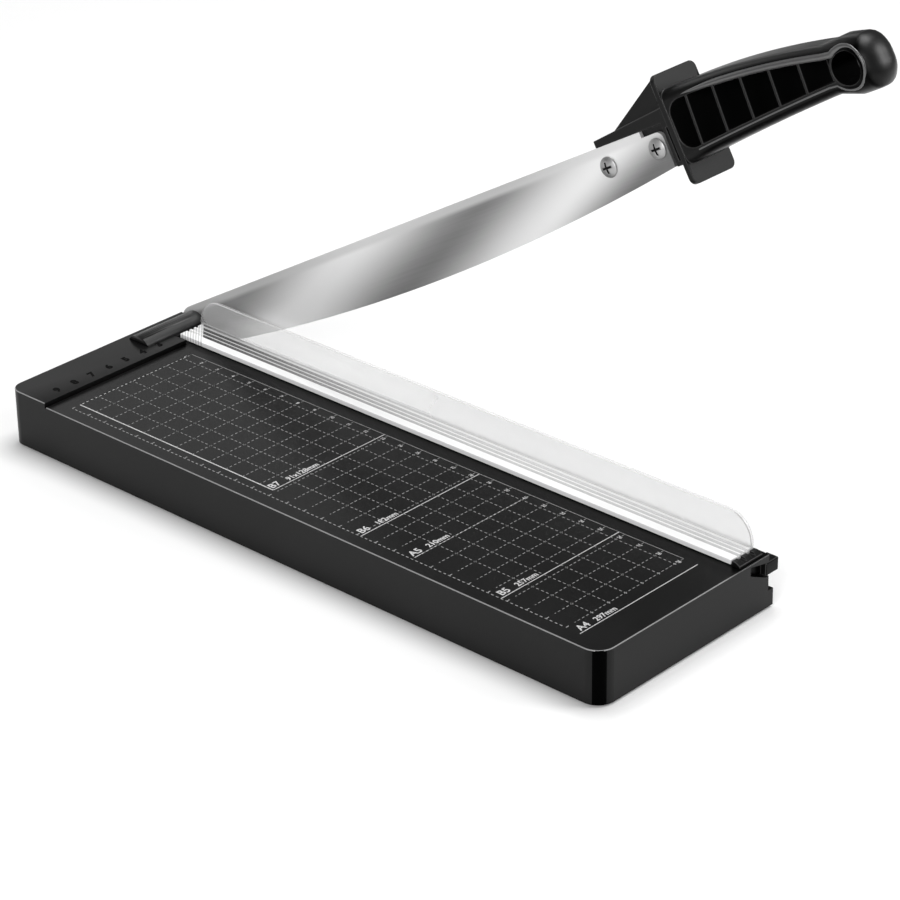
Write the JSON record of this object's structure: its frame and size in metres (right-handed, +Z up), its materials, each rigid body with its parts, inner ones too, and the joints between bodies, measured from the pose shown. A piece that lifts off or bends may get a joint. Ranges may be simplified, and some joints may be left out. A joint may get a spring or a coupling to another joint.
{
  "type": "paper cutter",
  "caption": "Desk guillotine paper cutter: black base with printed metric grid, clear blade guard, pivoting steel blade on a ribbed plastic handle, and a sliding lock.",
  "frame": {"origin": "middle of the base's footprint on the surface that it stands on, under the feet", "axes": "+X along the cutting edge from the pivot to the handle, +Y from the operator's side to the cutting edge, +Z up"},
  "size_m": [0.3818, 0.1162, 0.2499],
  "materials": {
    "base_plastic": "black moulded plastic with a fine satin texture",
    "handle_plastic": "black moulded plastic, smooth satin",
    "foot_rubber": "dark grey rubber",
    "knife_steel": "ground and brushed steel",
    "plated_steel": "bright nickel-plated steel",
    "spring_steel": "drawn wire",
    "bush_brass": "turned brass",
    "clear_plastic": "clear polished plastic"
  },
  "bodies": {
    "base": {"base_shell": "base_plastic", "foot_front_left": "foot_rubber", "foot_front_right": "foot_rubber", "foot_rear_left": "foot_rubber", "foot_rear_right": "foot_rubber", "foot_middle": "foot_rubber", "fixed_knife": "knife_steel", "knife_screws": "plated_steel", "pivot_bolt": "plated_steel", "pivot_washer": "plated_steel", "pivot_spring": "spring_steel", "spring_washer": "plated_steel", "pivot_nut": "plated_steel", "guard_keeper": "base_plastic", "lock_plate": "base_plastic", "lock_plate_screws": "plated_steel"},
    "arm": {"blade": "knife_steel", "pivot_bush": "bush_brass", "handle": "handle_plastic", "handle_screws": "plated_steel", "handle_nuts": "plated_steel", "lock_strike": "plated_steel", "strike_screws": "plated_steel"},
    "guard": {"clear_guard": "clear_plastic", "guard_screws": "plated_steel"},
    "lock": {"lock_slider": "base_plastic"}
  },
  "joints": [
    {"name": "arm_hinge", "type": "hinge", "parent": "base", "child": "arm", "pos_m": [-0.15845, 0.05125, 0.0226], "axis": [0, -1, 0], "range_deg": [-29, 35]},
    {"name": "guard_lift", "type": "slide", "parent": "base", "child": "guard", "axis": [0, 0, 1], "range_m": [0, 0.0025]},
    {"name": "lock_slide", "type": "slide", "parent": "base", "child": "lock", "axis": [1, 0, 0], "range_m": [-0.005, 0]}
  ]
}
